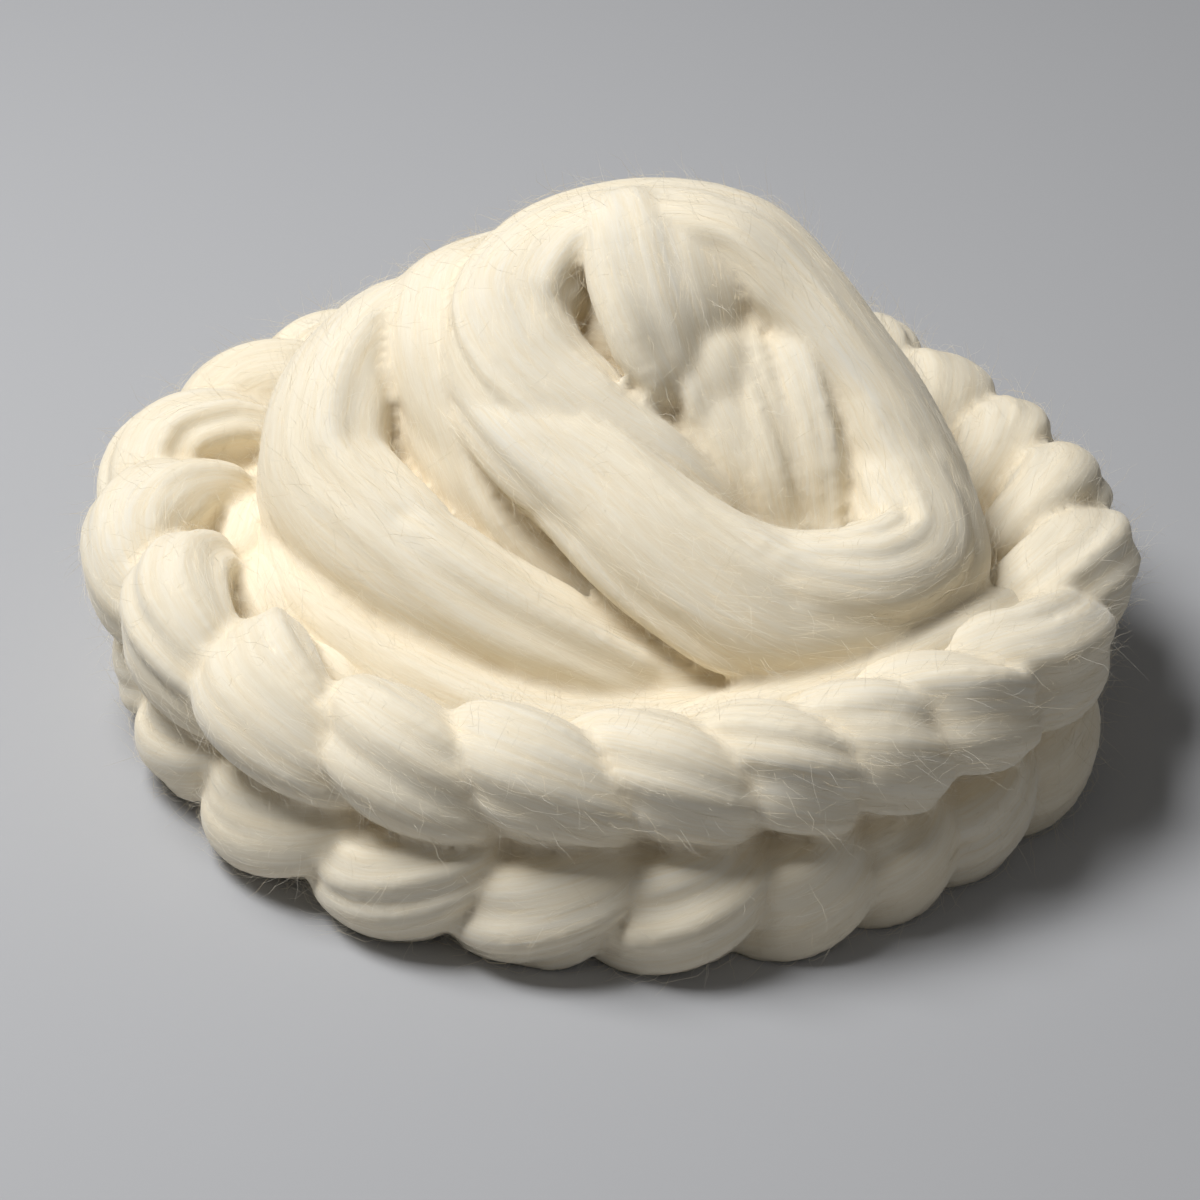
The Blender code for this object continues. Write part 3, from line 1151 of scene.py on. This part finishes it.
    def fill(self, material: bpy.types.Material) -> None:
        """Place and join every node of the tree."""
        wire, given = self.wire, self.given
        roots, way = self.scatter()
        curves = self.drape(self.grow(roots, way))
        factor = wire.node("GeometryNodeSplineParameter").outputs["Factor"]
        if self.lay is Lay.COMBED:
            factor = self.from_middle(factor)
        taper = wire.maths("SUBTRACT", 1.0, wire.maths(
            "MULTIPLY", wire.maths("POWER", factor, 2.0), self.TAPER))
        section = wire.fed("GeometryNodeCurvePrimitiveCircle", {
            "Resolution": self.SIDES, "Radius": 1.0,
        })
        tube = wire.fed("GeometryNodeCurveToMesh", {
            "Curve": curves, "Profile Curve": section.outputs["Curve"],
            "Scale": wire.maths("MULTIPLY", taper, given["Radius"]), "Fill Caps": True,
        })
        real = wire.fed("GeometryNodeRealizeInstances", {"Geometry": tube.outputs["Mesh"]})
        dress = wire.fed("GeometryNodeSetMaterial", {
            "Geometry": real.outputs["Geometry"], "Material": material,
        })
        wire.fed("NodeGroupOutput", {"Geometry": dress.outputs["Geometry"]})

    def apply(self, coat: FibreCoat, surface: bpy.types.Object) -> bpy.types.Object:
        """Grow a coat and turn it into a plain mesh.

        Args:
            coat: the coat's sizes.
            surface: what the fibres lie on.

        Returns:
            The fibres as one piece.
        """
        carrier = linked(f"{coat.name}_carrier", surface.data)
        grow = carrier.modifiers.new("fibres", "NODES")
        grow.node_group = self.tree
        values = {name.replace("_", " ").title(): value for name, value in asdict(coat).items()}
        values["Density"] = coat.number / shown_area(surface.data)
        for item in self.tree.interface.items_tree:
            if item.in_out == "INPUT" and item.name in values:
                grow[item.identifier] = values[item.name]
        mesh = applied(carrier)
        bpy.data.objects.remove(carrier)
        mesh.name = coat.name
        piece = linked(coat.name, mesh)
        piece.visible_shadow = False
        return piece


# --------------------------------------------------------------------------- assembly


def shown_area(mesh: bpy.types.Mesh) -> float:
    """The area of a surface that shows, in square metres."""
    areas = values_of(mesh.polygons, "area")
    starts = values_of(mesh.polygons, "loop_start", kind=int)
    totals = values_of(mesh.polygons, "loop_total", kind=int)
    corners = values_of(mesh.loops, "vertex_index", kind=int)
    shown = values_of(mesh.attributes["shown"].data, "value")
    share = np.add.reduceat(shown[corners], starts) / totals
    return float(np.sum(areas * share))


def mark_shown(pieces: Sequence[bpy.types.Object], solid: bpy.types.Object) -> None:
    """Mark each point that is inside no other strand and not deep in the heap.

    Args:
        pieces: the strands' surfaces.
        solid: the plain solid of the whole roving.
    """
    tree = joined_tree(pieces)
    whole = joined_tree([solid])
    for piece in pieces:
        mesh = piece.data
        shown = np.zeros(len(mesh.vertices))
        for i, vert in enumerate(mesh.vertices):
            start = vert.co + vert.normal * RAY_START
            _, facing, _, _ = tree.ray_cast(start, vert.normal)
            if facing is not None and facing.dot(vert.normal) > 0.0:
                continue
            near, outward, _, distance = whole.find_nearest(vert.co)
            inside = (vert.co - near).dot(outward) < 0.0
            if inside and distance > HIDDEN_DEPTH:
                continue
            shown[i] = 1.0
        mesh.attributes.new("shown", "FLOAT", "POINT").data.foreach_set("value", shown)
        log.info("%s: %.0f%% of its points show", piece.name, 100.0 * shown.mean())


def joined_tree(pieces: Sequence[bpy.types.Object]) -> BVHTree:
    """One search tree over several meshes."""
    verts: list[Vector] = []
    faces: list[list[int]] = []
    for piece in pieces:
        first = len(verts)
        verts += [vert.co.copy() for vert in piece.data.vertices]
        faces += [[first + i for i in face.vertices] for face in piece.data.polygons]
    return BVHTree.FromPolygons(verts, faces)


class Studio:
    """The floor, the lights and the camera."""

    AIM = Vector((-0.0028, 0.0, 0.031))
    DISTANCE = 1.3
    ELEVATION = math.radians(34.5)
    LENS = 125.9
    LIT = Vector((0.0, 0.0, 0.05))

    def build(self) -> None:
        """Set up everything round the object."""
        self.floor()
        self.camera()
        self.area("key", Vector((-0.58, 0.1, 1.28)), 0.65, 20.0)
        self.area("fill", Vector((0.9, -0.9, 0.9)), 0.8, 0.8)
        world = bpy.data.worlds.new("room")
        world.use_nodes = True
        back = world.node_tree.nodes["Background"]
        back.inputs["Color"].default_value = (1.0, 1.0, 1.0, 1.0)
        back.inputs["Strength"].default_value = 0.08
        bpy.context.scene.world = world
        bpy.context.scene.view_settings.view_transform = "Standard"

    def floor(self) -> None:
        """A plain pale floor."""
        reach = 3.0
        mesh = bpy.data.meshes.new("floor")
        mesh.from_pydata([(-reach, -reach, 0.0), (reach, -reach, 0.0), (reach, reach, 0.0),
                          (-reach, reach, 0.0)], [], [(0, 1, 2, 3)])
        floor = linked("floor", mesh)
        material = bpy.data.materials.new("pale_floor")
        material.use_nodes = True
        shader = material.node_tree.nodes["Principled BSDF"]
        shader.inputs["Base Color"].default_value = (0.46, 0.465, 0.48, 1.0)
        shader.inputs["Roughness"].default_value = 0.9
        shader.inputs["Specular IOR Level"].default_value = 0.1
        mesh.materials.append(material)

    def camera(self) -> None:
        """A camera in front, looking down."""
        data = bpy.data.cameras.new("camera")
        data.sensor_width = 36.0
        data.lens = self.LENS
        camera = linked("camera", data)
        back = Vector((0.0, -math.cos(self.ELEVATION), math.sin(self.ELEVATION)))
        camera.location = self.AIM + back * self.DISTANCE
        camera.rotation_euler = (math.pi / 2.0 - self.ELEVATION, 0.0, 0.0)
        bpy.context.scene.camera = camera

    def area(self, name: str, place: Vector, size: float, power: float) -> None:
        """A soft square light that points at the object."""
        data = bpy.data.lights.new(name, "AREA")
        data.size = size
        data.energy = power
        light = linked(name, data)
        light.location = place
        aim = self.LIT - place
        light.rotation_euler = aim.to_track_quat("-Z", "Y").to_euler()


COATS = (
    FibreCoat("combed_fibres", Lay.COMBED, number=7800, shortest=0.010, longest=0.030,
              radius=0.000038, lift=0.0040, sway=0.005, sway_size=0.014, turn=0.30,
              pitch=0.0, points=4, seed=21),
    FibreCoat("stray_fibres", Lay.STRAY, number=6500, shortest=0.003, longest=0.017,
              radius=0.000040, lift=0.0, sway=0.010, sway_size=0.009, turn=1.4,
              pitch=1.10, points=5, seed=41),
)


class WoolRoving:
    """The whole roving."""

    def __init__(self) -> None:
        """Make its finishes."""
        self.strand_material = WoolMaterial(WoolFinish("combed_wool")).strand()
        self.fibre_material = WoolMaterial(WoolFinish("loose_wool", sheen=0.1)).fibre()

    def build(self) -> list[bpy.types.Object]:
        """Build every piece.

        Returns:
            The pieces, with the strands first.
        """
        low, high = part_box(NODE)
        surfaces = [ChainedRing().build(), HeapedCoils().build()]
        places = np.concatenate([block for surface in surfaces for block in surface.verts])
        middle = (places.min(axis=0) + places.max(axis=0)) / 2.0
        shift = Vector(((low.x + high.x) / 2.0 - middle[0], (low.y + high.y) / 2.0 - middle[1], 0))
        pressing = Pressing()
        strands = [pressing.press(surface.build(shift)) for surface in surfaces]
        mark_shown(strands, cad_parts[NODE])
        pieces = list(strands)
        for strand in strands:
            strand.data.materials.append(self.strand_material)
        for coat in COATS:
            tree = FibreTree(coat.lay, self.fibre_material)
            for strand in strands:
                named = replace(coat, name=f"{strand.name}_{coat.name}")
                pieces.append(tree.apply(named, strand))
        return pieces


def main() -> None:
    """Build the roving, set it in the frame and light it."""
    logging.basicConfig(level=logging.INFO, format="%(name)s: %(message)s")
    Studio().build()
    total = 0
    for piece in WoolRoving().build():
        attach(piece, BODY)
        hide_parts(NODE)
        triangles = sum(len(face.vertices) - 2 for face in piece.data.polygons)
        total += triangles
        log.info("%s: %d triangles", piece.name, triangles)
    log.info("%d triangles in all", total)


if __name__ == "__main__":
    main()
